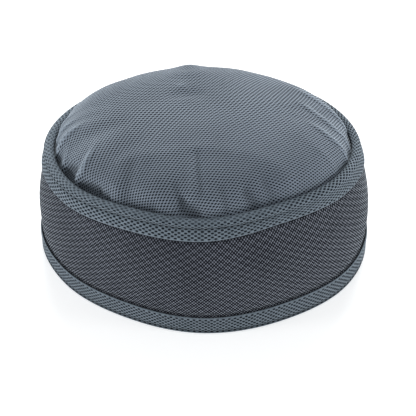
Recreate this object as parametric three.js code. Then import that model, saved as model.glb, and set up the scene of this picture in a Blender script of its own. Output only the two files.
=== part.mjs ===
// A kufi: a soft brimless cap of knitted mesh, standing on its hem as it would on a table.
// A puffed crown is sewn inside the top of a tall band, and a bias strip binds each edge of
// the band: the upper one closes the crown's seam and the lower one is the hem.
// Millimetres, +Z up. The origin is the middle of the foot. The front faces -Y.
import * as THREE from "three";

// Size of the cap
const NOMINAL_RADIUS = 94; // the pieces are drawn round at this outer radius, then settled
const RIM_HEIGHT = 68.5; // mean height of the rim's crest
const LEAN_POWER = 2.7; // the wall stands straight below and leans in near the rim
const BELLY = 1.0; // the wall's outward bulge at mid height

// Cloth and the room between the pieces
const GAP = 0.3;
const BINDING_CLOTH = 1.1;
const BAND_CLOTH = 1.5;
const CROWN_CLOTH = 1.0;
const SIDES = 80;

// Widths of the two bindings: on the outside as drawn, before each section's own width is
// given, and on the inside
const UPPER_OUTSIDE = 11;
const UPPER_INSIDE = 10;
const LOWER_OUTSIDE = 12;
const LOWER_INSIDE = 10;

// Crown
const SEAM_TURN = 1.4; // how far the crown's seam turns below the binding's inner edge
const PUFF_BASE = 62; // height from which the crown swells
const PUFF_RISE = 27;
const PUFF_POWER = 2.6; // a higher power gives a flatter top
const PUFF_SHOULDER = 3; // a higher number gives a squarer shoulder
const PUFF_STEPS = 9;

// The soft cap's shape in each direction, in degrees from +X towards +Y: outer radius of the
// hem and of the rim, rise of the rim, and how wide each binding shows on the outside.
const sections = [
  { at: 0, hem: 99.5, rim: 90.5, rise: 0, upper: 11, lower: 12.5 },
  { at: 30, hem: 96.5, rim: 87.5, rise: 0, upper: 11.5, lower: 12 },
  { at: 60, hem: 91.5, rim: 82, rise: 0, upper: 11.5, lower: 12 },
  { at: 90, hem: 89, rim: 79, rise: 0, upper: 11.5, lower: 12 },
  { at: 120, hem: 91.5, rim: 82, rise: 0, upper: 11.5, lower: 12 },
  { at: 150, hem: 97, rim: 88, rise: 0, upper: 11.5, lower: 12 },
  { at: 180, hem: 100, rim: 91.5, rise: 0, upper: 11.5, lower: 12 },
  { at: 210, hem: 95, rim: 88, rise: -0.5, upper: 11.5, lower: 12 },
  { at: 240, hem: 90, rim: 81, rise: 0.5, upper: 11, lower: 12 },
  { at: 270, hem: 91.5, rim: 79, rise: -0.5, upper: 10.5, lower: 11.5 },
  { at: 300, hem: 92.5, rim: 80, rise: 2, upper: 8.5, lower: 13 },
  { at: 330, hem: 98, rim: 87, rise: 2, upper: 9, lower: 13 },
];

// Gathers of the crown's cloth where it is eased into the seam: each is a valley that runs
// from the seam towards the middle, its reach given as a share of the crown's radius.
const gathers = [
  { at: 172, spread: 3.4, depth: 2.0, reach: 0.26 },
  { at: 181, spread: 3.0, depth: 2.2, reach: 0.24 },
  { at: 196, spread: 5.0, depth: 4.6, reach: 0.3 },
  { at: 221, spread: 5.5, depth: 3.2, reach: 0.3 },
  { at: 240, spread: 5.0, depth: 2.6, reach: 0.26 },
  { at: 262, spread: 5.0, depth: 2.4, reach: 0.24 },
  { at: 297, spread: 7.0, depth: 1.6, reach: 0.3 },
  { at: 326, spread: 5.0, depth: 1.4, reach: 0.24 },
  { at: 354, spread: 3.6, depth: 2.0, reach: 0.34 },
  { at: 3, spread: 3.6, depth: 2.2, reach: 0.34 },
  { at: 30, spread: 5, depth: 1.4, reach: 0.2 },
  { at: 62, spread: 5, depth: 1.2, reach: 0.16 },
  { at: 98, spread: 5, depth: 1.2, reach: 0.16 },
  { at: 134, spread: 5, depth: 1.4, reach: 0.2 },
];

// Broad swells and hollows of the crown, in millimetres from its middle
const swells = [
  { x: -9, y: 44, spread: 7, lift: 5.6 },
  { x: 2, y: 40, spread: 22, lift: 1.0 },
  { x: 48, y: 44, spread: 18, lift: -0.4 },
  { x: -46, y: 40, spread: 18, lift: 0.7 },
  { x: -68, y: 22, spread: 14, lift: 0.3 },
  { x: 12, y: -30, spread: 26, lift: 0.6 },
];

const DEGREE = Math.PI / 180;

// A bell of height 1 at 0 that is near nothing two spreads away
function bell(distance, spread) {
  return Math.exp(-0.5 * (distance / spread) ** 2);
}

// Degrees between two directions, from 0 to 180
function turnBetween(a, b) {
  return Math.abs(((((a - b) % 360) + 540) % 360) - 180);
}

// A smooth step from 0 at low to 1 at high
function rampUp(value, low, high) {
  return THREE.MathUtils.smoothstep(value, low, high);
}

// The direction of a point from the axis, in degrees
function directionOf(point) {
  return Math.atan2(point.y, point.x) / DEGREE;
}

// One column of the sections, eased smoothly between rows all the way round
function sectionValue(column, degrees) {
  const step = 360 / sections.length;
  const along = ((degrees + 360) % 360) / step;
  const row = Math.floor(along);
  const [a, b, c, d] = [-1, 0, 1, 2].map(
    (k) => sections[(row + k + sections.length) % sections.length][column],
  );
  const t = along - row;
  return b + 0.5 * t * (c - a + t * (2 * a - 5 * b + 4 * c - d + t * (3 * (b - c) + d - a)));
}

// The pieces are drawn as turned rings of straight walls. This gives a point its place on the
// real cap: out to the section's radius, leaning in, and up with the rim.
function settle(point) {
  const degrees = directionOf(point);
  const height = THREE.MathUtils.clamp(point.z / RIM_HEIGHT, 0, 1);
  const fromAxis = Math.hypot(point.x, point.y) / NOMINAL_RADIUS;
  const leant = THREE.MathUtils.lerp(
    sectionValue("hem", degrees),
    sectionValue("rim", degrees),
    height ** LEAN_POWER,
  );
  const scale = (leant + BELLY * Math.sin(height * Math.PI) ** 2) / NOMINAL_RADIUS;
  point.x *= scale;
  point.y *= scale;
  point.z += sectionValue("rise", degrees) * height ** 2 * rampUp(fromAxis, 0.3, 0.9);
  return point;
}

// A ring or shell turned from a profile of [radius, height] pairs, then moved point by point
function turned(profile, move) {
  const outline = profile.map(([radius, height]) => new THREE.Vector2(radius, height));
  const shell = new THREE.LatheGeometry(outline, SIDES).rotateX(Math.PI / 2);
  const places = shell.getAttribute("position");
  const point = new THREE.Vector3();
  for (let i = 0; i < places.count; i++) {
    point.fromBufferAttribute(places, i);
    move(point);
    places.setXYZ(i, point.x, point.y, point.z);
  }
  shell.computeVertexNormals();
  return shell;
}

// The radii of the walls, from the outside in
const outside = NOMINAL_RADIUS;
const bandOuter = outside - BINDING_CLOTH - GAP;
const bandInner = bandOuter - BAND_CLOTH;
const seamOuter = bandInner - GAP;
const seamInner = seamOuter - CROWN_CLOTH;
const upperInside = seamInner - GAP - BINDING_CLOTH;
const lowerInside = bandInner - GAP - BINDING_CLOTH;

// Gives the outer leg of a binding its width in each direction, and leaves its fold alone
function cutToWidth(column, drawn, foldHeight) {
  return (point) => {
    const reach = point.z - foldHeight;
    const outerLeg = Math.hypot(point.x, point.y) > bandOuter;
    const ratio = sectionValue(column, directionOf(point)) / drawn;
    const share = outerLeg ? rampUp(Math.abs(reach), 2, 8) : 0;
    point.z = foldHeight + reach * THREE.MathUtils.lerp(1, ratio, share);
    return settle(point);
  };
}

// The tall band between the two bindings
function bandProfile() {
  const bottom = BINDING_CLOTH + GAP;
  const top = RIM_HEIGHT - BINDING_CLOTH - GAP;
  const levels = [bottom, LOWER_OUTSIDE, 26, 40, 49, RIM_HEIGHT - UPPER_OUTSIDE, top];
  const outer = levels.map((z) => [bandOuter, z]);
  const inner = levels.map((z) => [bandInner, z]).reverse();
  return [...outer, ...inner, outer[0]];
}

// The hem: a strip folded round the band's lower edge, flat where it stands
function lowerBindingProfile() {
  const round = 1.0;
  const slotOuter = outside - BINDING_CLOTH;
  const slotInner = lowerInside + BINDING_CLOTH;
  return [
    [outside - round, 0],
    [outside, round],
    [outside, LOWER_OUTSIDE * 0.5],
    [outside - 0.2, LOWER_OUTSIDE - 0.5],
    [slotOuter, LOWER_OUTSIDE],
    [slotOuter, BINDING_CLOTH],
    [slotInner, BINDING_CLOTH],
    [slotInner, LOWER_INSIDE],
    [lowerInside, LOWER_INSIDE],
    [lowerInside, round],
    [lowerInside + round, 0],
    [outside - round, 0],
  ];
}

// The rim: a strip folded over the band's upper edge and the crown's seam, with a round crest
function upperBindingProfile() {
  const slotOuter = outside - BINDING_CLOTH;
  const slotInner = upperInside + BINDING_CLOTH;
  const slotTop = RIM_HEIGHT - BINDING_CLOTH;
  const middle = (outside + upperInside) / 2;
  const halfWidth = (outside - upperInside) / 2;
  const crestDrop = 2.4;
  const crest = [0, 36, 72, 108, 144, 180].map((a) => [
    middle + halfWidth * Math.cos(a * DEGREE),
    RIM_HEIGHT - crestDrop + crestDrop * Math.sin(a * DEGREE),
  ]);
  return [
    [slotOuter, RIM_HEIGHT - UPPER_OUTSIDE],
    [outside - 0.2, RIM_HEIGHT - UPPER_OUTSIDE + 0.4],
    [outside, RIM_HEIGHT - UPPER_OUTSIDE * 0.6],
    ...crest,
    [upperInside, RIM_HEIGHT - UPPER_INSIDE],
    [slotInner, RIM_HEIGHT - UPPER_INSIDE],
    [slotInner, slotTop],
    [slotOuter, slotTop],
    [slotOuter, RIM_HEIGHT - UPPER_OUTSIDE],
  ];
}

// The middle line of the crown's cloth: down in the seam beside the band, round below the
// binding's inner edge, and up into the puffed top, ending on the axis
function crownMiddleLine() {
  const half = CROWN_CLOTH / 2;
  const seamTop = RIM_HEIGHT - BINDING_CLOTH - GAP;
  const turnTop = RIM_HEIGHT - UPPER_INSIDE - GAP;
  const foot = turnTop - SEAM_TURN;
  const puffRadius = upperInside - GAP - half;
  const puff = [];
  for (let step = PUFF_STEPS; step >= 0; step--) {
    const share = Math.sin((step / PUFF_STEPS) * 85 * DEGREE);
    const rise = (1 - share ** PUFF_POWER) ** (1 / PUFF_SHOULDER);
    puff.push([(puffRadius - 0.5) * share, PUFF_BASE + PUFF_RISE * rise]);
  }
  return [
    [seamOuter - half, seamTop],
    [seamOuter - half, foot + half],
    [(seamOuter + puffRadius) / 2 - half, foot],
    [puffRadius, foot + half],
    [puffRadius, PUFF_BASE],
    ...puff,
  ];
}

// The crown's wall, half its cloth to each side of the middle line
function crownProfile() {
  const line = crownMiddleLine().map(([r, z]) => new THREE.Vector2(r, z));
  const sideOf = (sign) =>
    line.map((here, i) => {
      const before = line[Math.max(i - 1, 0)];
      const after = line[Math.min(i + 1, line.length - 1)];
      const along = after.clone().sub(before).normalize();
      const offset = new THREE.Vector2(along.y, -along.x).multiplyScalar(
        (sign * CROWN_CLOTH) / 2,
      );
      const place = here.clone().add(offset);
      const onAxis = i === line.length - 1;
      return onAxis ? [0, here.y + (sign * CROWN_CLOTH) / 2] : [place.x, place.y];
    });
  return [...sideOf(-1).reverse(), ...sideOf(1)];
}

// Pulls the crown's cloth into its gathers, then lifts its swells
function easeCrown(point) {
  const degrees = directionOf(point);
  const radius = Math.hypot(point.x, point.y);
  const share = radius / upperInside;
  const aboveSeam = share < 1 ? rampUp(point.z, RIM_HEIGHT - 7, RIM_HEIGHT + 4) : 0;
  const pull = gathers.reduce((sum, g) => {
    const along = rampUp(share, 1 - 2 * g.reach, 1 - 0.25 * g.reach);
    return sum + g.depth * along * bell(turnBetween(degrees, g.at), g.spread);
  }, 0);
  const lift = swells.reduce(
    (sum, s) => sum + s.lift * bell(Math.hypot(point.x - s.x, point.y - s.y), s.spread),
    0,
  );
  const core = new THREE.Vector2(0.6 * upperInside, PUFF_BASE);
  const inward = core.sub(new THREE.Vector2(radius, point.z)).normalize();
  if (radius > 0) {
    const newRadius = radius + inward.x * pull * aboveSeam;
    point.x *= newRadius / radius;
    point.y *= newRadius / radius;
  }
  point.z += inward.y * pull * aboveSeam + lift * aboveSeam;
  return settle(point);
}

// Colours of the cloths
const meshGrey = new THREE.MeshStandardMaterial({
  color: 0x66707c,
  roughness: 0.9,
  metalness: 0,
});
const bindingGrey = new THREE.MeshStandardMaterial({
  color: 0x5d6b76,
  roughness: 0.9,
  metalness: 0,
});
const charcoal = new THREE.MeshStandardMaterial({
  color: 0x43454f,
  roughness: 0.9,
  metalness: 0,
});

function piece(name, geometry, material) {
  const mesh = new THREE.Mesh(geometry, material);
  mesh.name = name;
  return mesh;
}

const kufi = new THREE.Group();
kufi.add(
  piece("crown", turned(crownProfile(), easeCrown), meshGrey),
  piece("band", turned(bandProfile(), settle), charcoal),
  piece(
    "upper_binding",
    turned(upperBindingProfile(), cutToWidth("upper", UPPER_OUTSIDE, RIM_HEIGHT)),
    bindingGrey,
  ),
  piece(
    "lower_binding",
    turned(lowerBindingProfile(), cutToWidth("lower", LOWER_OUTSIDE, 0)),
    bindingGrey,
  ),
);

// The origin is below the middle of the box round the cap
const middle = new THREE.Box3().setFromObject(kufi).getCenter(new THREE.Vector3());
kufi.position.set(-middle.x, -middle.y, 0);

export default kufi;
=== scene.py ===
# %% [markdown]
# # A kufi of knitted mesh
# The cap is a puffed crown sewn inside the top of a tall band, with a bias strip folded
# over each edge of the band. Its four pieces are made of three cloths: a fine blue-grey
# mesh for the crown, a charcoal net for the band, and a coarse open mesh for the two
# strips. Each piece gets its own high-resolution cloth here, in place of the plain solid
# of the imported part.

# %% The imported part, the fixed frame that every cloth is fitted to
import math

import bpy
import numpy as np
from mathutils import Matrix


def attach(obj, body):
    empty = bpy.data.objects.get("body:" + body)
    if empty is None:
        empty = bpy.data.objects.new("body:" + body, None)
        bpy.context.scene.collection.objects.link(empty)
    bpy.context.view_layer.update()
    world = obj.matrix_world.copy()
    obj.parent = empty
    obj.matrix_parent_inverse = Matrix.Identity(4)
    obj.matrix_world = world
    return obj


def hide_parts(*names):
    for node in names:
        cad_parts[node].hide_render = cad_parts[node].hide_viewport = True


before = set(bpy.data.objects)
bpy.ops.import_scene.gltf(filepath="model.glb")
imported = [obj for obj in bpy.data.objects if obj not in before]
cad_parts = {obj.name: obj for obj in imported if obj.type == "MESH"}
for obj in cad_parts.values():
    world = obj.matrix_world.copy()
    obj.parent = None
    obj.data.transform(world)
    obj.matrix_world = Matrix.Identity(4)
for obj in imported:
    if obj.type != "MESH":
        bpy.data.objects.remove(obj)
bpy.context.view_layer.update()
print("nodes", sorted(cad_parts))

# %% [markdown]
# ## The camera
# A product photographer stands a little back and looks down on the cap, so that its top
# and its front both show. A long lens keeps the rim's near and far sides almost the same
# size. The camera is aimed a little below the middle of the cap, which sets the cap high
# in the frame. Placing it by numbers, not by hand, keeps every later comparison fair.

# %% Camera
from mathutils import Vector

CAMERA_PLACE = (0.0003, -0.4897, 0.380)
CAMERA_AIM = (0.0027, 0.0012, 0.0184)
LENS = 86.4

scene = bpy.context.scene
camera_data = bpy.data.cameras.new("product_camera")
camera = bpy.data.objects.new("product_camera", camera_data)
scene.collection.objects.link(camera)
camera.location = CAMERA_PLACE
line_of_sight = Vector(CAMERA_AIM) - camera.location
camera.rotation_euler = line_of_sight.to_track_quat("-Z", "Y").to_euler()
camera_data.sensor_width = 36
camera_data.lens = LENS
scene.camera = camera
print("camera looks down by", round(90 - math.degrees(camera.rotation_euler.x), 1), "degrees")

# %% [markdown]
# ## The floor and the light
# The cap stands on a light table: a white sheet that is lit from below, which catalogue
# photographers use because it swallows the shadow. A large plane with a little glow of its
# own makes the table. A wide softbox above and behind the cap and a bright room give soft,
# even light, two low panels lighten its sides, and a weak fill reaches its front. Colours
# are shown as plain sRGB, so that a measured cloth colour comes out as it was measured.

# %% Floor
FLOOR_WIDTH = 6
FLOOR_HEIGHT = -0.0002

scene.view_settings.view_transform = "Standard"
bpy.ops.object.select_all(action="DESELECT")
bpy.ops.mesh.primitive_plane_add(size=FLOOR_WIDTH, location=(0, 0, FLOOR_HEIGHT))
floor = bpy.context.object
floor.name = "white_table"
floor_paint = bpy.data.materials.new("white_table_paint")
floor_paint.use_nodes = True
floor_shader = floor_paint.node_tree.nodes["Principled BSDF"]
floor_shader.inputs["Base Color"].default_value = (0.85, 0.85, 0.85, 1)
floor_shader.inputs["Emission Color"].default_value = (1, 1, 1, 1)
floor_shader.inputs["Emission Strength"].default_value = 0.5
floor_shader.inputs["Roughness"].default_value = 0.9
floor.data.materials.append(floor_paint)
print(floor.name, "is", FLOOR_WIDTH, "m wide")

# %% Room and lights
CAP_MIDDLE = Vector((0, 0, 0.05))
ROOM_COLOUR, ROOM_STRENGTH = (0.95, 0.98, 1.0, 1), 0.455

room = bpy.data.worlds.new("bright_room")
room.use_nodes = True
background = room.node_tree.nodes["Background"]
background.inputs["Color"].default_value = ROOM_COLOUR
background.inputs["Strength"].default_value = ROOM_STRENGTH
scene.world = room


def softbox(name, place, size, watts):
    """Hangs a square area light that faces the cap."""
    data = bpy.data.lights.new(name, "AREA")
    data.shape = "SQUARE"
    data.size = size
    data.energy = watts
    box = bpy.data.objects.new(name, data)
    scene.collection.objects.link(box)
    box.location = place
    box.rotation_euler = (CAP_MIDDLE - box.location).to_track_quat("-Z", "Y").to_euler()


softbox("overhead_softbox", (0.1, 1.6, 0.95), 1.2, 43)
softbox("left_panel", (-1.2, -0.3, 0.16), 0.3, 9)
softbox("right_panel", (1.2, -0.3, 0.16), 0.3, 7)
softbox("front_fill", (0.1, -1.3, 1.1), 0.9, 3.5)

# %% [markdown]
# ## The cap's measures
# A cap pattern is a few widths and a head size. The real cap is soft, so its plan is not
# a perfect oval: it was folded flat, which leaves a soft corner at the front, and its rim
# rises and dips. One short table gives the hem, the rim, its rise and the strips' widths in
# twelve directions, and a smooth curve runs between them. Every cloth is first drawn
# round and straight, then settled through this table, so all of them stay a hair apart.
# These numbers are in millimetres and are the same as those of the solids. The small shift
# brings the middle of the footprint to the origin.

# %% Measures
NOMINAL_RADIUS = 94.0
RIM_HEIGHT = 68.5
LEAN_POWER = 2.7
BELLY = 1.0
GAP = 0.3
BINDING_CLOTH = 1.1
BAND_CLOTH = 1.5
CROWN_CLOTH = 1.0
UPPER_OUTSIDE, UPPER_INSIDE = 11.0, 10.0
LOWER_OUTSIDE, LOWER_INSIDE = 12.0, 10.0
CENTRE_SHIFT = (0.25, 1.24)
SECTION_TURN = 30

sections = {
    #        0     30    60    90   120   150   180   210   240   270   300   330
    "hem": [99.5, 96.5, 91.5, 89.0, 91.5, 97.0, 100.0, 95.0, 90.0, 91.5, 92.5, 98.0],
    "rim": [90.5, 87.5, 82.0, 79.0, 82.0, 88.0, 91.5, 88.0, 81.0, 79.0, 80.0, 87.0],
    "rise": [0, 0, 0, 0, 0, 0, 0, -0.5, 0.5, -0.5, 2.0, 2.0],
    "upper": [11.0, 11.5, 11.5, 11.5, 11.5, 11.5, 11.5, 11.5, 11.0, 10.5, 8.5, 9.0],
    "lower": [12.5, 12.0, 12.0, 12.0, 12.0, 12.0, 12.0, 12.0, 12.0, 11.5, 13.0, 13.0],
}

outside = NOMINAL_RADIUS
band_outer = outside - BINDING_CLOTH - GAP
band_inner = band_outer - BAND_CLOTH
seam_outer = band_inner - GAP
seam_inner = seam_outer - CROWN_CLOTH
upper_inside = seam_inner - GAP - BINDING_CLOTH
lower_inside = band_inner - GAP - BINDING_CLOTH

opening = 2 * math.pi * (np.mean(sections["hem"]) - (outside - lower_inside))
print("opening inside the hem", round(opening / 10, 1), "cm round")


# %% Curves and distances
def around(measure, degrees):
    """One measure of the sections, eased smoothly between them all the way round."""
    values = np.array(sections[measure], float)
    along = (np.asarray(degrees) % 360) / SECTION_TURN
    before = np.floor(along).astype(int)
    t = along - before
    a, b, c, d = (values[(before + k) % len(values)] for k in (-1, 0, 1, 2))
    return b + 0.5 * t * (c - a + t * (2 * a - 5 * b + 4 * c - d + t * (3 * (b - c) + d - a)))


def ramp(value, low, high):
    """A smooth step from 0 at low to 1 at high."""
    t = np.clip((value - low) / (high - low), 0, 1)
    return t * t * (3 - 2 * t)


def bell(distance, spread):
    """A smooth bump of height 1."""
    return np.exp(-0.5 * (distance / spread) ** 2)


def direction(points):
    """Each point's direction from the axis, in degrees."""
    return np.degrees(np.arctan2(points[:, 1], points[:, 0]))


def turn_between(a, b):
    """Degrees between two directions, from 0 to 180."""
    return np.abs((a - b + 180) % 360 - 180)


def radius_of(points):
    """Each point's distance from the axis."""
    return np.hypot(points[:, 0], points[:, 1])


def widened(points, scale):
    """Each point moved out from the axis by its own factor, at its own height."""
    return points * np.stack([scale, scale, np.ones_like(scale)], 1)


print("the hem's radius at the front", round(float(around("hem", 270)), 1), "mm")

# %% The map from the drawn cap to the settled cap
RISE_FROM, RISE_TO = 0.3, 0.9


def settle(points):
    """Puts points of the drawn, round cap in their place on the soft, oval cap."""
    degrees = direction(points)
    height = np.clip(points[:, 2] / RIM_HEIGHT, 0, 1)
    out = radius_of(points) / NOMINAL_RADIUS
    hem, rim = around("hem", degrees), around("rim", degrees)
    leant = hem + (rim - hem) * height**LEAN_POWER
    scale = (leant + BELLY * np.sin(height * math.pi) ** 2) / NOMINAL_RADIUS
    settled = widened(points, scale)
    settled[:, 2] += around("rise", degrees) * height**2 * ramp(out, RISE_FROM, RISE_TO)
    settled[:, :2] += CENTRE_SHIFT
    return settled


rim_side = settle(np.array([[NOMINAL_RADIUS, 0.0, RIM_HEIGHT]]))
print("the rim's side settles at", rim_side[0].round(1), "mm")

# %% [markdown]
# ## Turning a cloth
# Each cloth is a thin wall with the same section all round, so it is spun like a bowl on
# a wheel: a circle of vertices is laid along the section, then the Spin operator sweeps it
# round the axis. A sculpted mesh could look the same, but a spun one keeps even rows and
# columns, which the mesh holes and the gathers need. Afterwards, a function moves every
# vertex at once, the way a hand would press and pull the cloth.

# %% Helpers that move and mark vertices
MM = 0.001


def read_points(piece):
    """The piece's vertices as an array in millimetres."""
    flat = np.empty(len(piece.data.vertices) * 3)
    piece.data.vertices.foreach_get("co", flat)
    return flat.reshape(-1, 3) / MM


def write_points(piece, points):
    """Moves the piece's vertices to the given places in millimetres."""
    piece.data.vertices.foreach_set("co", (points * MM).ravel())
    piece.data.update()


def paint(piece, name, values):
    """Keeps one number for each vertex, which a material can read by this name."""
    layer = piece.data.attributes.new(name, "FLOAT", "POINT")
    layer.data.foreach_set("value", np.asarray(values, np.float32))


def select_only(piece):
    """Makes one object the only one that the next operator acts on."""
    bpy.ops.object.select_all(action="DESELECT")
    piece.select_set(True)
    bpy.context.view_layer.objects.active = piece


print("one millimetre is", MM, "of Blender's units")

# %% Helpers that turn a section
START_RADIUS = 0.01
MERGE_DISTANCE = 0.00001


def spaced(start, end, gap):
    """Numbers from start towards end, about one gap apart, without the end itself."""
    return list(np.linspace(start, end, max(1, round(abs(end - start) / gap)), endpoint=False))


def open_section(piece, last):
    """Takes out the edge that joins the section's last vertex to its first."""
    bpy.ops.object.mode_set(mode="EDIT")
    bpy.ops.mesh.select_mode(type="EDGE")
    bpy.ops.mesh.select_all(action="DESELECT")
    bpy.ops.object.mode_set(mode="OBJECT")
    for edge in piece.data.edges:
        edge.select = set(edge.vertices) == {0, last}
    bpy.ops.object.mode_set(mode="EDIT")
    bpy.ops.mesh.delete(type="EDGE")
    bpy.ops.object.mode_set(mode="OBJECT")


def turn(name, outline, columns, closed=True):
    """Spins a section of (radius, height) pairs, in millimetres, right round the axis."""
    bpy.ops.object.select_all(action="DESELECT")
    bpy.ops.mesh.primitive_circle_add(vertices=len(outline), radius=START_RADIUS)
    piece = bpy.context.object
    piece.name = name
    write_points(piece, np.array([(radius, 0, height) for radius, height in outline], float))
    if not closed:
        open_section(piece, len(outline) - 1)
    bpy.ops.object.mode_set(mode="EDIT")
    bpy.ops.mesh.select_mode(type="VERT")
    bpy.ops.mesh.select_all(action="SELECT")
    bpy.ops.mesh.spin(steps=columns, angle=2 * math.pi, center=(0, 0, 0), axis=(0, 0, 1))
    bpy.ops.mesh.select_all(action="SELECT")
    bpy.ops.mesh.remove_doubles(threshold=MERGE_DISTANCE)
    bpy.ops.mesh.normals_make_consistent(inside=False)
    bpy.ops.object.mode_set(mode="OBJECT")
    highest = max(piece.data.vertices, key=lambda vertex: vertex.co.z)
    if highest.normal.z < 0:
        bpy.ops.object.mode_set(mode="EDIT")
        bpy.ops.mesh.flip_normals()
        bpy.ops.object.mode_set(mode="OBJECT")
    print(name, "turned:", len(piece.data.vertices), "vertices")
    return piece


print("rows from 0 to 10 mm, about 3 mm apart:", [round(float(z), 1) for z in spaced(0, 10, 3)])

# %% [markdown]
# ## A map on the cloth for its weave
# A weave follows the thread, not the room, so each cloth carries its own UV map. On a
# wall, the map counts millimetres round the cap and up it. A wall's map must not jump
# where the circle closes, so the direction of each corner is taken near that of its face.
# The band's map also ends on a whole number of the net's repeats, so no seam shows.

# %% Helpers that lay a cloth's UV map
NET_ROUND, NET_UP, NET_REPEATS = 3.8, 3.9, 154
STRIP_CELL = 1.8


def corner_vertices(mesh):
    """The vertex that each corner of each face stands on."""
    corners = np.empty(len(mesh.loops), int)
    mesh.loops.foreach_get("vertex_index", corners)
    return corners


def write_map(mesh, coordinates):
    """Fills the mesh's one UV map, in the order of its corners."""
    layer = mesh.uv_layers.active or mesh.uv_layers.new(name="cloth_map")
    layer.name = "cloth_map"
    layer.data.foreach_set("uv", coordinates.ravel())


def lay_wall_map(piece, round_length):
    """UV map in millimetres: u runs round the wall, which counts as the given length."""
    mesh = piece.data
    points = read_points(piece)
    corners = corner_vertices(mesh)
    totals = np.empty(len(mesh.polygons), int)
    mesh.polygons.foreach_get("loop_total", totals)
    face_of_corner = np.repeat(np.arange(len(totals)), totals)
    angle = np.arctan2(points[corners, 1], points[corners, 0])
    starts = np.concatenate([[0], np.cumsum(totals)[:-1]])
    first = angle[starts][face_of_corner]
    near = first + (angle - first + math.pi) % (2 * math.pi) - math.pi
    write_map(mesh, np.stack([near / (2 * math.pi) * round_length, points[corners, 2]], 1))


print("the band's map is", round(NET_REPEATS * NET_ROUND, 1), "mm round")

# %% [markdown]
# ## The band
# The band is a straight strip of charcoal net joined into a tube. On the real cap it is
# held by the two strips and bellies out between them, and the stitches pull it in along
# each strip's edge. A plain turned wall does it: its outer rows are close together, so that
# they can follow those two narrow tucks, and slow ripples keep it from looking machined.
# The tucks are also kept as a number on each vertex, for the material to paint shade into. The net
# itself is too fine to model, so its material draws it later.

# %% Band section
BAND_COLUMNS = 240
BAND_OUTER_ROW, BAND_INNER_ROW = 0.8, 2
bottom = BINDING_CLOTH + GAP
top = RIM_HEIGHT - BINDING_CLOTH - GAP
band_section = [(band_outer, z) for z in spaced(bottom, top, BAND_OUTER_ROW)]
band_section += [(band_outer, top), (band_inner, top)]
band_section += [(band_inner, z) for z in spaced(top, bottom, BAND_INNER_ROW)[1:]]
band_section += [(band_inner, bottom)]
band_cloth = turn("band_cloth", band_section, BAND_COLUMNS)
lay_wall_map(band_cloth, NET_REPEATS * NET_ROUND)

# %% Ripples and tucks of the band
FREE_FROM, FREE_TO = (14, 24), (46, 56)
ripples = [
    # depth, waves in one round, start, turn with height
    (0.22, 7, 1.0, 0.05),
    (0.14, 17, 0.0, -0.09),
]
TUCK_DEPTH, TUCK_SPREAD = 0.7, 0.7
TUCK_UNDER_RIM, TUCK_OVER_HEM = 0.4, 0.5


def ripple(points):
    """Slow shallow waves across the band's free height, alike on both its faces."""
    radians = np.radians(direction(points))
    free = ramp(points[:, 2], *FREE_FROM) * (1 - ramp(points[:, 2], *FREE_TO))
    wave = np.zeros(len(points))
    for depth, waves, start, lean in ripples:
        wave += depth * np.sin(waves * radians + start + points[:, 2] * lean)
    return widened(points, 1 + wave * free / NOMINAL_RADIUS)


def tuck(points):
    """How far each point of the outer face is pulled in along the edges of the strips."""
    degrees = direction(points)
    under_rim = points[:, 2] - (RIM_HEIGHT - around("upper", degrees) - TUCK_UNDER_RIM)
    over_hem = points[:, 2] - (around("lower", degrees) + TUCK_OVER_HEM)
    pulled = np.maximum(bell(under_rim, TUCK_SPREAD), bell(over_hem, TUCK_SPREAD))
    return np.where(radius_of(points) > (band_outer + band_inner) / 2, pulled, 0)


drawn_band = read_points(band_cloth)
tucked = tuck(drawn_band)
rippled = ripple(drawn_band)
rippled[:, :2] *= (1 - TUCK_DEPTH * tucked / NOMINAL_RADIUS)[:, None]
write_points(band_cloth, settle(rippled))
# Kept for the painted shade in the tucks.
paint(band_cloth, "tuck_shade", tucked)
print("vertices in the tucks:", int((tucked > 0.5).sum()))

# %% [markdown]
# ## The binding strips
# A bias strip of coarse mesh is folded over each edge. Its holes are large enough to
# catch the light, so they are modelled, not painted: the strip's visible side is a grid,
# and in every other cell, as on a chessboard, the face is inset and pushed in. One round
# of subdivision then turns the square pits into soft oval slots between rounded yarns. A
# number on each vertex, 1 on the floors and 0 elsewhere, lets the material paint shade on
# the pits' floors. The rows along both edges stay whole, because there the strip is turned under.

# %% Helper that knits the holes
HOLE_WALL = 0.2
HOLE_DEPTH = 0.4


def knit_holes(piece, section, columns, rows):
    """Sinks every other cell of the given rows of the section, and marks its floor."""
    mesh = piece.data
    centres = np.empty(len(mesh.polygons) * 3)
    mesh.polygons.foreach_get("center", centres)
    centres = centres.reshape(-1, 3) / MM
    middles = (np.array(section) + np.roll(np.array(section), -1, axis=0)) / 2
    far_out = radius_of(centres)[:, None] - middles[:, 0]
    row = np.hypot(far_out, centres[:, 2:3] - middles[:, 1]).argmin(axis=1)
    column = np.floor((direction(centres) % 360) / 360 * columns).astype(int)
    chosen = np.isin(row, rows) & ((row + column) % 2 == 0)
    select_only(piece)
    bpy.ops.object.mode_set(mode="EDIT")
    bpy.ops.mesh.select_mode(type="FACE")
    bpy.ops.mesh.select_all(action="DESELECT")
    bpy.ops.object.mode_set(mode="OBJECT")
    mesh.polygons.foreach_set("select", chosen)
    bpy.ops.object.mode_set(mode="EDIT")
    bpy.ops.mesh.inset(thickness=HOLE_WALL * MM, depth=-HOLE_DEPTH * MM, use_individual=True)
    bpy.ops.object.mode_set(mode="OBJECT")
    sunk = np.zeros(len(mesh.vertices))
    for face in mesh.polygons:
        if face.select:
            sunk[list(face.vertices)] = 1
    # Kept for the painted shade on the pits' floors.
    paint(piece, "pit", sunk)
    print(piece.name, "holes:", int(chosen.sum()))


print("a hole has", HOLE_WALL, "mm of wall round it and is", HOLE_DEPTH, "mm deep")

# %% Helpers that cut and round a strip
CUT_FROM, CUT_TO = 2, 8
HAIR = 0.01


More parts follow.
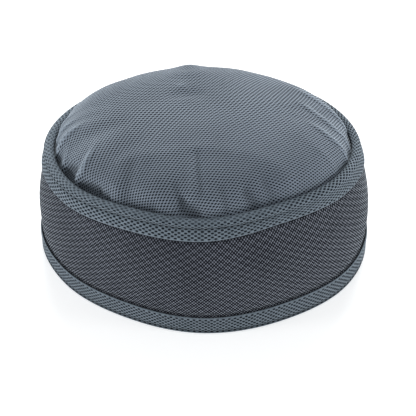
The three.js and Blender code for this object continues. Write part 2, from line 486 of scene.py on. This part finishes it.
def cut_to_width(points, measure, drawn_width, fold_height):
    """Gives a strip's outer leg its width in each direction, and leaves its fold alone."""
    reach = points[:, 2] - fold_height
    outer_leg = radius_of(points) > band_outer + HAIR
    ratio = around(measure, direction(points)) / drawn_width
    share = np.where(outer_leg, ramp(np.abs(reach), CUT_FROM, CUT_TO), 0)
    cut = points.copy()
    cut[:, 2] = fold_height + reach * (1 + (ratio - 1) * share)
    return cut


def finish_strip(piece):
    """Rounds the knitted strip with one applied round of subdivision."""
    rounding = piece.modifiers.new("rounding", "SUBSURF")
    rounding.levels = 1
    rounding.render_levels = 1
    select_only(piece)
    bpy.ops.object.modifier_apply(modifier=rounding.name)
    bpy.ops.object.shade_smooth()
    print(piece.name, "faces:", len(piece.data.polygons))


print("a strip keeps its fold as drawn for", CUT_FROM, "mm")

# %% [markdown]
# ## The upper strip
# It is folded over the rim and closes the crown's seam, so its crest is round and between
# five and six millimetres thick. A line of stitches a third of the way down pulls it in,
# and the crest stands a little proud above that line as a soft roll. The roll dies away
# towards the wearer's left and back, where the strip is stretched flat. The section is
# drawn from the foot of the outer leg over the crest to the foot of the inner leg, and
# back through the slot that takes the band and the seam.

# %% Upper strip
RIM_ROW = 1.03
CREST_DROP, CREST_POINTS = 2.4, 9
CREASE_DROP, CREASE_HALF = 4.0, 0.8
LEG_PROUD, LEG_START = 0.1, 0.9
FOOT_ROUND, FOOT_LIFT, INNER_ROUND = 0.3, 0.2, 0.2
UPPER_COLUMNS = 296

slot_outer = outside - BINDING_CLOTH
slot_inner = upper_inside + BINDING_CLOTH
slot_top = RIM_HEIGHT - BINDING_CLOTH
crest_middle = (outside + upper_inside) / 2
crest_half = (outside - upper_inside) / 2
leg_foot = RIM_HEIGHT - UPPER_OUTSIDE
inner_foot = RIM_HEIGHT - UPPER_INSIDE
crest_foot = RIM_HEIGHT - CREST_DROP
crease_height = RIM_HEIGHT - CREASE_DROP

leg_heights = spaced(leg_foot + LEG_START, crease_height - CREASE_HALF, RIM_ROW)
outer_rows = [(outside - FOOT_ROUND, leg_foot + FOOT_LIFT)]
outer_rows += [(outside + LEG_PROUD, z) for z in leg_heights]
outer_rows += [(outside, crease_height + z) for z in (-CREASE_HALF, 0, CREASE_HALF)]
crest_rows = [
    (crest_middle + crest_half * math.cos(a), crest_foot + CREST_DROP * math.sin(a))
    for a in np.linspace(0, math.pi, CREST_POINTS)
]
inner_rows = [(upper_inside, z) for z in spaced(crest_foot, inner_foot, RIM_ROW)[1:]]
upper_section = outer_rows + crest_rows + inner_rows
visible_rows = list(range(1, len(upper_section) - 1))
upper_section += [(upper_inside + INNER_ROUND, inner_foot), (slot_inner, inner_foot)]
upper_section += [(slot_inner, slot_top), (slot_outer, slot_top), (slot_outer, leg_foot)]

rim_binding = turn("rim_binding", upper_section, UPPER_COLUMNS)
lay_wall_map(rim_binding, UPPER_COLUMNS * STRIP_CELL)

# %% The rim's stitched roll
FLAT_TOWARDS, FLAT_WITHIN, ROLLED_BEYOND = 45, 88, 120
LEAST_ROLL = 0.1
CREASE_DEPTH, CREASE_SPREAD = 0.75, 0.55
ROLL_PROUD, ROLL_FROM, ROLL_TO = 0.7, 0.3, 1.2


def roll_share(degrees):
    """How much of the stitched roll shows in each direction, 1 where it is whole."""
    rolled = ramp(turn_between(degrees, FLAT_TOWARDS), FLAT_WITHIN, ROLLED_BEYOND)
    return LEAST_ROLL + (1 - LEAST_ROLL) * rolled


def press_roll(points, share):
    """Pulls the stitch line in and lets the crest above it stand proud."""
    radius = radius_of(points)
    above_crease = points[:, 2] - crease_height
    pulled = CREASE_DEPTH * bell(above_crease, CREASE_SPREAD)
    proud = ROLL_PROUD * ramp(above_crease, ROLL_FROM, ROLL_TO)
    shift = np.where(radius > crest_middle, share * (proud - pulled), 0)
    return widened(points, 1 + shift / radius)


print("the roll at the front shows by", round(float(roll_share(270)), 2))

# %% [markdown]
# ## The lower strip
# The hem's strip is the same mesh, folded under the band. It is flat where it stands, and
# a second line of stitches close to the fold leaves a narrow roll along the bottom.

# %% Lower strip
HEM_ROW = 1.2
HEM_ROUND = 1.0
HEM_CREASE, HEM_CREASE_DEPTH = 2.1, 0.5
LOWER_COLUMNS = 360

hem_slot = lower_inside + BINDING_CLOTH
edge_start = LOWER_OUTSIDE - 1.0
hem_section = [(outside - HEM_ROUND, 0.0), (outside + 0.05, 0.4), (outside + 0.15, 1.2)]
hem_section += [(outside - HEM_CREASE_DEPTH, HEM_CREASE)]
hem_section += [(outside, z) for z in spaced(HEM_CREASE + 0.8, edge_start, HEM_ROW)]
hem_section += [(outside - 0.1, edge_start), (outside - 0.5, LOWER_OUTSIDE - 0.1)]
outer_count = len(hem_section)
hem_section += [(slot_outer, LOWER_OUTSIDE), (slot_outer, BINDING_CLOTH)]
hem_section += [(hem_slot, BINDING_CLOTH), (hem_slot, LOWER_INSIDE)]
inner_first = len(hem_section)
hem_section += [(lower_inside, LOWER_INSIDE)]
hem_section += [(lower_inside, z) for z in spaced(LOWER_INSIDE, HEM_ROUND, HEM_ROW)[1:]]
hem_section += [(lower_inside, HEM_ROUND), (lower_inside + HEM_ROUND, 0.0)]
hem_rows = list(range(2, outer_count - 2)) + list(range(inner_first + 1, len(hem_section) - 2))

hem_binding = turn("hem_binding", hem_section, LOWER_COLUMNS)
lay_wall_map(hem_binding, LOWER_COLUMNS * STRIP_CELL)

# %% [markdown]
# ## The crown
# The crown is a flat round of fine mesh, larger than the rim. Its edge is turned down and
# sewn into the seam, and the spare cloth puffs up and gathers. It is turned from one line
# that runs down the seam, round its foot and up over the puff to the middle.

# %% Crown section
SEAM_TURN = 1.4
SEAM_ROW, FOOT_ROW = 2, 1.2
PUFF_BASE = 62.0
PUFF_RISE = 27.0
PUFF_POWER = 2.6
PUFF_SHOULDER = 3
PUFF_START, PUFF_ROWS, PUFF_INSET = 86, 62, 0.5
CROWN_COLUMNS = 500

half_cloth = CROWN_CLOTH / 2
seam_top = RIM_HEIGHT - BINDING_CLOTH - GAP
seam_foot = RIM_HEIGHT - UPPER_INSIDE - GAP - SEAM_TURN
foot_side = seam_foot + half_cloth
puff_radius = upper_inside - GAP - half_cloth
seam_radius = seam_outer - half_cloth

crown_section = [(seam_radius, z) for z in spaced(seam_top, foot_side, SEAM_ROW)]
crown_section += [(seam_radius, foot_side), ((seam_radius + puff_radius) / 2, seam_foot)]
crown_section += [(puff_radius, z) for z in spaced(foot_side, PUFF_BASE, FOOT_ROW)]
for from_axis in np.linspace(PUFF_START, 0, PUFF_ROWS):
    share = math.sin(math.radians(from_axis))
    rise = (1 - share**PUFF_POWER) ** (1 / PUFF_SHOULDER)
    crown_section.append(((puff_radius - PUFF_INSET) * share, PUFF_BASE + PUFF_RISE * rise))
crown_section[-1] = (0.0, PUFF_BASE + PUFF_RISE)
crown_cloth = turn("crown_cloth", crown_section, CROWN_COLUMNS, closed=False)

# %% [markdown]
# The crown's weave map is the flat round of cloth itself: each vertex lies as far from the
# map's middle as the thread runs over the puff. So the weave is not stretched where the
# cloth turns down at the shoulder, as it would be if it were projected from above. Towards
# the seam more cloth is eased into the same length, so the mesh is squeezed and its rows
# draw closer together.

# %% Crown map
EASED_FROM, EASED_SPAN, EASED_CLOTH = 40, 55, 11
from_middle = np.array(crown_section)[::-1]
run = np.concatenate([[0], np.cumsum(np.hypot(*np.diff(from_middle, axis=0).T))])


def thread_run(points):
    """How far the thread runs from the middle of the crown to each of its points."""
    far_out = radius_of(points)[:, None] - from_middle[:, 0]
    return run[np.hypot(far_out, points[:, 2:3] - from_middle[:, 1]).argmin(axis=1)]


drawn_crown = read_points(crown_cloth)
reach = thread_run(drawn_crown)
reach += EASED_CLOTH * np.clip((reach - EASED_FROM) / EASED_SPAN, 0, None) ** 2
heading = np.radians(direction(drawn_crown))
flat_place = np.stack([reach * np.cos(heading), reach * np.sin(heading)], 1)
write_map(crown_cloth.data, flat_place[corner_vertices(crown_cloth.data)])
print("the crown's flat round is", round(2 * float(reach.max())), "mm across")

# %% [markdown]
# ## Gathers and swells
# The crown's spare cloth is pressed into shape from short tables, as a hand would do it.
# Broad gathers stand all round the seam, where the cloth is eased in, and broad swells
# raise and sink the empty puff: its peak at the back, the hollow beside it. The gathers
# lie where the solid has them but are pressed in less than half as deep, and the peak is
# lower and broader than the solid's, because the creases below add the sharper forms.

# %% Gathers and swells of the crown
GATHER_SHARE = 0.4
gathers = [
    # direction, spread, depth, reach inward as a share of the radius
    (172, 3.4, 2.0, 0.26),
    (181, 3.0, 2.2, 0.24),
    (196, 5.0, 4.6, 0.30),
    (221, 5.5, 3.2, 0.30),
    (240, 5.0, 2.6, 0.26),
    (262, 5.0, 2.4, 0.24),
    (297, 7.0, 1.6, 0.30),
    (326, 5.0, 1.4, 0.24),
    (354, 3.6, 2.0, 0.34),
    (3, 3.6, 2.2, 0.34),
    (30, 5.0, 1.4, 0.20),
    (62, 5.0, 1.2, 0.16),
    (98, 5.0, 1.2, 0.16),
    (134, 5.0, 1.4, 0.20),
]
swells = [
    # x, y, spread, lift
    (-9, 48, 12, 1.6),
    (2, 40, 22, 1.0),
    (48, 44, 18, -1.8),
    (-46, 40, 18, 0.7),
    (-68, 22, 14, 0.9),
    (12, -30, 26, 0.6),
    (60, 36, 8, 1.4),
]
EASE_LOW, EASE_HIGH = RIM_HEIGHT - 7, RIM_HEIGHT + 4
GATHER_INNER, GATHER_OUTER = 2, 0.25
PUFF_CORE = 0.6


def ease(points):
    """Presses the gathers and swells into the drawn crown."""
    degrees = direction(points)
    radius = radius_of(points)
    share = radius / upper_inside
    above_seam = np.where(share < 1, ramp(points[:, 2], EASE_LOW, EASE_HIGH), 0)
    pull = np.zeros(len(points))
    for at, spread, depth, length in gathers:
        along = ramp(share, 1 - GATHER_INNER * length, 1 - GATHER_OUTER * length)
        pull += GATHER_SHARE * depth * along * bell(turn_between(degrees, at), spread)
    lift = np.zeros(len(points))
    for x, y, spread, height in swells:
        lift += height * bell(np.hypot(points[:, 0] - x, points[:, 1] - y), spread)
    inward = np.stack([PUFF_CORE * upper_inside - radius, PUFF_BASE - points[:, 2]], 1)
    inward /= np.hypot(*inward.T)[:, None]
    scale = 1 + inward[:, 0] * pull * above_seam / np.maximum(radius, 1e-6)
    eased = widened(points, scale)
    eased[:, 2] += (inward[:, 1] * pull + lift) * above_seam
    return eased


write_points(crown_cloth, settle(ease(drawn_crown)))
settled_crown = read_points(crown_cloth)
print("the crown's peak is at", round(float(settled_crown[:, 2].max()), 1), "mm")

# %% [markdown]
# ## Creases
# Sharper folds are particular to this cap: pinched ridges with deep pockets between them at
# one shoulder, a crevice along the rim beside them, shallow dimples along the front, three
# fine ridges at the other shoulder, and a small dent near the peak. Each is a line drawn
# in plan, with a width and a height. The height of the sharp ones is kept on each vertex
# too, so that the material can paint a highlight on a pinched crest and paint shade in the
# bottom of a fold. So is the place at one side where the cloth is pulled taut over the rim,
# where the material shrinks the holes and paints shade.

# %% Table of creases
creases = [
    # width, height, then the places that it runs through, in millimetres on the settled cap
    (1.1, 1.6, (-86, -15), (-82, -13), (-76, -10), (-68, -5)),
    (1.1, 1.4, (-87, -4), (-80, 0), (-72, 2)),
    (1.1, 1.1, (-86, 6), (-79, 10), (-72, 12)),
    (1.5, -2.2, (-85, -16), (-83, -20)),
    (1.2, 1.3, (-79, -27), (-77, -23), (-76, -18)),
    (1.7, -2.6, (-78, -30), (-75, -33), (-71, -38)),
    (1.3, 1.2, (-72, -41), (-66, -41), (-62, -34), (-59, -27)),
    (1.15, -2.7, (-69, -44), (-62, -49), (-57, -53)),
    (1.0, -1.6, (-56, -54), (-51, -58)),
    (1.7, 0.5, (-55, -50), (-50, -55), (-45, -60)),
    (2.8, -0.9, (-38, -46), (-40, -57), (-41, -64)),
    (7.0, 0.3, (-29, -50), (-25, -63)),
    (2.0, -1.4, (-37, -67), (-27, -70)),
    (2.2, -0.9, (-15, -63), (-13, -68)),
    (1.9, -1.9, (-11, -70), (-7, -72), (-3, -74)),
    (1.8, 0.5, (-6, -41), (-7, -56), (-7, -68)),
    (1.8, -0.8, (-4, -43), (-3, -57), (-1, -67)),
    (3.0, 0.5, (-5, -69), (4, -71)),
    (2.4, -0.9, (9, -65), (11, -71)),
    (2.4, -1.4, (22, -66), (28, -69)),
    (2.6, -0.9, (32, -60), (36, -65)),
    (1.3, 1.2, (55, 31), (68, 19), (76, 11), (82, 6)),
    (1.3, 1.1, (55, 13), (67, 0), (75, -8), (83, -11)),
    (1.3, 1.1, (58, -9), (71, -20), (81, -23)),
    (1.6, 0.4, (57, -29), (65, -34), (73, -38)),
    (3.0, 0.45, (-53, -45), (-39, -44), (-23, -43), (-2, -39), (25, -44), (38, -50), (45, -56)),
    (2.5, 1.3, (-12, 24), (-8, 23)),
    (3.4, -0.8, (-17, 14), (-4, 14)),
    (5.5, 1.8, (-10, 44), (-9, 64)),
]
SHARP_BELOW = 3
sharp_creases = [crease for crease in creases if crease[0] < SHARP_BELOW]
print("creases:", len(creases), "of which sharp:", len(sharp_creases))

# %% Creases of the crown
SINKS_ABOVE, RISES_ABOVE = (57, 63), (64.5, 69)
FADED, FADED_WITHIN = 0.2, 10
FULL_TONE = 2
TAUT_SIDE, TAUT_BACK = (60, 74), (-15, -6)


def crease_heights(points, lines):
    """How far the creases, each drawn as a line in plan, raise or sink the settled crown.

    A raised crease dies away at its end nearer the crown's middle.
    """
    raised = np.zeros(len(points))
    places = points[:, :2] - CENTRE_SHIFT
    for width, height, *path in lines:
        distance = np.full(len(points), np.inf)
        for start, end in zip(path, path[1:]):
            along = np.subtract(end, start).astype(float)
            share = np.clip((places - start) @ along / (along @ along), 0, 1)
            apart = places - start - share[:, None] * along
            distance = np.minimum(distance, np.hypot(*apart.T))
        strength = ramp(points[:, 2], *(SINKS_ABOVE if height < 0 else RISES_ABOVE))
        if height > 0:
            inner_end = min((path[0], path[-1]), key=lambda place: math.hypot(*place))
            from_end = np.hypot(*(places - inner_end).T)
            strength = strength * (FADED + (1 - FADED) * ramp(from_end, 0, FADED_WITHIN))
        raised += height * strength * bell(distance, width)
    return raised


def outward_of(piece):
    """The direction that each vertex faces."""
    normals = np.empty(len(piece.data.vertices) * 3)
    piece.data.vertex_normals.foreach_get("vector", normals)
    return normals.reshape(-1, 3)


on_puff = radius_of(drawn_crown) < puff_radius + half_cloth
raised = np.where(on_puff, crease_heights(settled_crown, creases), 0)
sharply = np.where(on_puff, crease_heights(settled_crown, sharp_creases), 0)
sideways, backward = (settled_crown[:, :2] - CENTRE_SHIFT).T
taut_and_shade = np.where(on_puff, ramp(-sideways, *TAUT_SIDE) * ramp(backward, *TAUT_BACK), 0)
write_points(crown_cloth, settled_crown + outward_of(crown_cloth) * raised[:, None])
# Kept for painted light: a highlight on sharp crests and shade in sharp folds.
paint(crown_cloth, "fold_light_and_shade", np.clip(sharply / FULL_TONE, -1, 1))
# Kept for the smaller holes on the taut side and for the painted shade there.
paint(crown_cloth, "taut_and_shade", taut_and_shade)
print("creases from", round(float(raised.min()), 1), "to", round(float(raised.max()), 1), "mm")

# %% [markdown]
# A cloth has two faces. The crown is one surface so far, so Solidify gives it its
# millimetre of thickness, half to each side.

# %% Crown thickness
thickness = crown_cloth.modifiers.new("cloth_thickness", "SOLIDIFY")
thickness.thickness = CROWN_CLOTH * MM
thickness.offset = 0
select_only(crown_cloth)
bpy.ops.object.modifier_apply(modifier=thickness.name)
print("crown_cloth faces:", len(crown_cloth.data.polygons))

# %% [markdown]
# ## Writing materials as sums
# A woven pattern is arithmetic on the cloth's map. Wiring thirty Math nodes by hand hides
# the idea, so a small class wraps a socket and turns Python's operators into nodes. Then
# a pattern reads like its formula. Colours are mixed with Mix nodes, because a Math node
# would turn them grey.

# %% Sums of sockets
class Wire:
    """A socket's output that can be added to, multiplied by a number, and so on."""

    def __init__(self, sheet, socket):
        self.sheet = sheet
        self.socket = socket

    def math(self, operation, *others):
        return self.sheet.node("ShaderNodeMath", {"operation": operation}, [self, *others])

    def __add__(self, other):
        return self.math("ADD", other)

    __radd__ = __add__

    def __mul__(self, other):
        return self.math("MULTIPLY", other)

    __rmul__ = __mul__

    def __sub__(self, other):
        return self.math("SUBTRACT", other)

    def __rsub__(self, other):
        return self.sheet.node("ShaderNodeMath", {"operation": "SUBTRACT"}, [other, self])

    def wave(self):
        """The cosine of this many full turns."""
        return (self * (2 * math.pi)).math("COSINE")

    def off(self, value):
        """The distance from a value, whichever side it lies on."""
        return (self - value).math("ABSOLUTE")

    def step(self, low, high):
        """A smooth step from 0 at low to 1 at high."""
        settings = {"interpolation_type": "SMOOTHSTEP"}
        limits = {"Value": self, "From Min": low, "From Max": high}
        return self.sheet.node("ShaderNodeMapRange", settings, limits)


print("a Wire turns +, - and * into Math nodes")

# %% The cloth material
# Painted shade: every hole and pit floor shows this nearly black shader in place of the dark seen
# through a real hole.
HOLE_PAINTED_SHADE = {"Base Color": (0.006, 0.007, 0.01, 1), "Roughness": 1.0, "Specular IOR Level": 0.0}


class ClothMaterial:
    """A material sheet with one cloth shader, and one method that adds any other node."""

    def __init__(self, name, roughness, sheen):
        self.material = bpy.data.materials.new(name)
        self.material.use_nodes = True
        self.tree = self.material.node_tree
        self.shader = self.tree.nodes["Principled BSDF"]
        self.shader.inputs["Roughness"].default_value = roughness
        self.shader.inputs["Specular IOR Level"].default_value = 0.25
        self.shader.inputs["Sheen Weight"].default_value = sheen
        self.shader.inputs["Sheen Roughness"].default_value = 0.45
        self.shader.inputs["Sheen Tint"].default_value = (0.82, 0.92, 1.0, 1)

    def plug(self, socket, value):
        """Links a wire to a socket, or sets the socket to a plain value."""
        if isinstance(value, Wire):
            self.tree.links.new(value.socket, socket)
        elif value is not None:
            socket.default_value = value

    def node(self, kind, settings=None, inputs=None, output=0):
        """Any node, from its type, its settings and what goes into its sockets."""
        made = self.tree.nodes.new(kind)
        for key, value in (settings or {}).items():
            setattr(made, key, value)
        pairs = inputs.items() if isinstance(inputs, dict) else enumerate(inputs or [])
        for key, value in pairs:
            self.plug(made.inputs[key], value)
        return Wire(self, made.outputs[output])

    def cloth_place(self):
        """The two directions of the cloth's own map, in millimetres."""
        place = self.node("ShaderNodeUVMap", {"uv_map": "cloth_map"})
        return (
            self.node("ShaderNodeSeparateXYZ", None, [place], "X"),
            self.node("ShaderNodeSeparateXYZ", None, [place], "Y"),
        )

    def painted(self, name):
        """The number that a piece keeps on its vertices under this name."""
        return self.node("ShaderNodeAttribute", {"attribute_name": name}, None, "Fac")

    def noise(self, scale, detail=2.0):
        """Soft noise from 0 to 1 at the given number of blobs per metre."""
        place = self.node("ShaderNodeTexCoord", None, None, "Object")
        values = {"Vector": place, "Scale": scale, "Detail": detail}
        return self.node("ShaderNodeTexNoise", None, values, "Fac")

    def mix(self, share, first, second):
        """Between two colours."""
        made = self.tree.nodes.new("ShaderNodeMix")
        made.data_type = "RGBA"
        self.plug(made.inputs[0], share)
        self.plug(made.inputs[6], first)
        self.plug(made.inputs[7], second)
        return Wire(self, made.outputs[2])

    def finish(self, colour, height, relief, hole):
        """Plugs in the colour, a relief of the given depth in metres, and the holes, whose nearly
        black shader is painted shade.
        """
        self.plug(self.shader.inputs["Base Color"], colour)
        depth = {"Height": height, "Distance": relief, "Strength": 1.0}
        self.plug(self.shader.inputs["Normal"], self.node("ShaderNodeBump", None, depth))
        inside = self.node("ShaderNodeBsdfPrincipled", None, HOLE_PAINTED_SHADE)
        yarn = Wire(self, self.shader.outputs[0])
        both = self.node("ShaderNodeMixShader", None, [hole, yarn, inside])
        self.plug(self.tree.nodes["Material Output"].inputs["Surface"], both)
        print("material", self.material.name, "nodes:", len(self.tree.nodes))
        return self.material


print("inside a hole the cloth is", HOLE_PAINTED_SHADE["Base Color"][:3])

# %% [markdown]
# ## Crown mesh
# A bird's-eye mesh has small holes in staggered rows: 2.3 mm apart in a row, with the rows
# 2.1 mm apart. Three cosine waves, one level with the rows and two that lean across them,
# add up to exactly such a lattice, with a peak at every hole. One leaning wave is stronger
# than its mirror image, and a fourth, steeper wave helps it, which draws the holes out into
# slanted slots, as the knitting does. Slow noise lets the rows wander. A hole is a second,
# nearly black shader without any sheen, which paints the shade seen through it: real holes
# would need far too many faces. The crests of the creases get a painted highlight and their
# holes are closed up, the pockets between them get painted shade, and at the wearer's right
# side the mesh is pulled taut, so its holes are smaller, and painted shade darkens its yarn.

# %% Crown mesh holes
HOLE_PITCH, ROW_PITCH = 2.27, 2.11
ROW_SLANT, WANDER = 0.11, 0.9

crown_sheet = ClothMaterial("crown_mesh", 0.85, 0.42)
u, v = crown_sheet.cloth_place()
along_row = u + (crown_sheet.noise(45) - 0.5) * WANDER
skewed = v + u * ROW_SLANT + (crown_sheet.noise(38) - 0.5) * WANDER
in_holes = along_row * (1 / HOLE_PITCH)
lean_right = (in_holes + skewed * (0.5 / ROW_PITCH)).wave()
lean_left = (in_holes - skewed * (0.5 / ROW_PITCH)).wave()
level = (skewed * (1 / ROW_PITCH)).wave()
steep = (in_holes - skewed * (1.5 / ROW_PITCH)).wave()
lattice = lean_left * 1.1 + level * 1.1 + lean_right * 0.4 + steep * 0.6
open_mesh = lattice.step(-0.75, 0.95)
print("crown holes:", round(10000 / (HOLE_PITCH * ROW_PITCH)), "in 10 by 10 cm")

# %% Crown mesh material
CROWN_YARNS = (0.162, 0.196, 0.242, 1), (0.196, 0.236, 0.287, 1)
TAUT_PAINTED_SHADE = (0.06, 0.075, 0.095, 1)
CREST_PAINTED_HIGHLIGHT = (0.28, 0.335, 0.40, 1)
POCKET_PAINTED_SHADE = (0.035, 0.044, 0.055, 1)
CROWN_RELIEF = 0.0004

tone = crown_sheet.noise(26, 3.0).step(0.3, 0.7)
# Painted light: a highlight on the crests of the sharp creases, painted shade in the pockets
# between them.
fold = crown_sheet.painted("fold_light_and_shade")
crest, pocket_shade = fold.step(0.1, 0.6), (fold * -1).step(0.15, 1.0)
taut_and_shade_share = crown_sheet.painted("taut_and_shade")
crown_hole = open_mesh * (0.96 - crest * 0.45) * (1 - taut_and_shade_share * 0.45)
crown_colour = crown_sheet.mix(tone, *CROWN_YARNS)
# Painted shade darkens the yarn on the taut side of the crown.
crown_colour = crown_sheet.mix(taut_and_shade_share * 0.3, crown_colour, TAUT_PAINTED_SHADE)
crown_colour = crown_sheet.mix(crest * 0.45, crown_colour, CREST_PAINTED_HIGHLIGHT)
crown_colour = crown_sheet.mix(pocket_shade * 0.56, crown_colour, POCKET_PAINTED_SHADE)
crown_material = crown_sheet.finish(crown_colour, 1 - crown_hole, CROWN_RELIEF, crown_hole)

# %% [markdown]
# ## Band net
# The band's net is finer and darker: its holes stand on a diagonal chessboard about two
# millimetres wide. A second, slower pair of waves makes some holes larger than others,
# which gives the faint zigzag that runs across the real net. In the tucks along the two
# strips the yarn is darkened by painted shade.

# %% Band net material
NET_YARNS = (0.103, 0.111, 0.141, 1), (0.145, 0.157, 0.196, 1)
TUCK_PAINTED_SHADE = (0.02, 0.023, 0.03, 1)
NET_RELIEF = 0.0003

band_sheet = ClothMaterial("band_net", 0.85, 0.95)
u, v = band_sheet.cloth_place()
across, up = u * (1 / NET_ROUND), v * (1 / NET_UP)
fine = (across * 2).wave() * (up * 2).wave()
slow = (across * 0.5).wave() * up.wave()
net_hole = (fine + slow * 0.3).step(-0.66, 0.02)
tone = band_sheet.noise(30, 3.0).step(0.3, 0.7)
net_colour = band_sheet.mix(tone, *NET_YARNS)
# Painted shade in the tucks along the two strips.
net_colour = band_sheet.mix(band_sheet.painted("tuck_shade") * 0.75, net_colour, TUCK_PAINTED_SHADE)
band_material = band_sheet.finish(net_colour, 1 - net_hole, NET_RELIEF, net_hole * 0.96)

# %% [markdown]
# ## Binding yarn
# The strips' holes are modelled, so their material only has to look like yarn: fine
# twisted fibres along the strip, painted shade on the floor of each hole, and the two lines
# of stitches, darker thread sunk in the crease below the rim's roll and above the hem's,
# with painted shade in the crease along them. Over the rim's fold the mesh is pulled so
# tight that its holes begin to close. The hem's strip is painted a little darker all over,
# as shade, because it lies lowest and catches less of the light.

# %% Stitches and painted crease shade of the strips
STITCH = 2.8

yarn_sheet = ClothMaterial("binding_yarn", 0.85, 0.35)
u, v = yarn_sheet.cloth_place()
stitch = (u * (1 / STITCH)).wave().step(-0.6, 0.2)
roll = yarn_sheet.painted("roll")
# Dark lines along the creases: partly the stitching thread, partly painted shade in the crease.
rim_stitches_and_shade = v.off(crease_height - 0.1).step(1.0, 0.25) * roll
hem_stitches_and_shade = v.off(HEM_CREASE - 0.2).step(1.0, 0.5)
sewn_and_shaded = rim_stitches_and_shade * (stitch * 0.4 + 0.35) + hem_stitches_and_shade * (stitch * 0.25 + 0.6)
print("stitches are", STITCH, "mm long")

# %% Binding material
BINDING_YARNS = (0.116, 0.148, 0.179, 1), (0.171, 0.213, 0.255, 1)
THREAD_AND_SHADE = (0.03, 0.04, 0.05, 1)
FIBRE_ALONG, FIBRE_UP = 0.45, 0.5
YARN_RELIEF = 0.00006
HEM_SHADE = 0.22

one_twist = ((u + v * 0.6) * (1 / FIBRE_ALONG)).wave()
other_twist = ((v * 1.3 - u * 0.4) * (1 / FIBRE_UP)).wave()
stretched = v.step(RIM_HEIGHT - 1.6, RIM_HEIGHT - 0.4) * roll * 0.35
# Painted shade on the floor of every pit, less where the mesh over the fold is stretched.
pit = yarn_sheet.painted("pit").step(0.13, 0.43) * (0.96 - stretched)
# Painted shade: the hem's strip is darker all over.
on_hem = v.step(LOWER_OUTSIDE + 6, LOWER_OUTSIDE + 2)
tone = yarn_sheet.noise(500, 3.0).step(0.3, 0.7)
binding_colour = yarn_sheet.mix(tone, *BINDING_YARNS)
binding_colour = yarn_sheet.mix(sewn_and_shaded, binding_colour, THREAD_AND_SHADE)
binding_colour = yarn_sheet.mix(on_hem * HEM_SHADE, binding_colour, THREAD_AND_SHADE)
relief = one_twist * other_twist - pit * 2
binding_material = yarn_sheet.finish(binding_colour, relief, YARN_RELIEF, pit)

# %% [markdown]
# ## Making up the strips
# Both strips go through the same steps. The holes come first, while the strip is still
# round and its grid can be counted. Then the roll is pressed, the outer leg is cut to its
# width, and the strip settles with the rest of the cap. Subdivision comes last, so that it
# rounds the final shape.

# %% Knit, cut and settle the strips
for strip, section, columns, rows, cut in (
    (rim_binding, upper_section, UPPER_COLUMNS, visible_rows, ("upper", UPPER_OUTSIDE, RIM_HEIGHT)),
    (hem_binding, hem_section, LOWER_COLUMNS, hem_rows, ("lower", LOWER_OUTSIDE, 0.0)),
):
    strip.data.materials.append(binding_material)
    knit_holes(strip, section, columns, rows)
    drawn_strip = read_points(strip)
    share = roll_share(direction(drawn_strip))
    paint(strip, "roll", share)
    write_points(strip, settle(cut_to_width(press_roll(drawn_strip, share), *cut)))
    finish_strip(strip)

# %% [markdown]
# ## Dressing the part
# Each cloth takes the place of its solid: the solid stays, hidden, and the cloth is what
# shows. Each cloth takes the place of its solid: the solid stays for collision, and the
# cloth is what shows. They all ride on the one body that the cap has.

# %% Dress the part
for cloth, node, slot, material in (
    (crown_cloth, "crown", "crown_mesh", crown_material),
    (band_cloth, "band", "band_mesh", band_material),
    (rim_binding, "upper_binding", "binding_mesh", None),
    (hem_binding, "lower_binding", "binding_mesh", None),
):
    if material:
        cloth.data.materials.append(material)
    select_only(cloth)
    bpy.ops.object.shade_smooth()
    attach(cloth, "root")
    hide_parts(node)
    print(cloth.name, "triangles:", sum(len(p.vertices) - 2 for p in cloth.data.polygons))
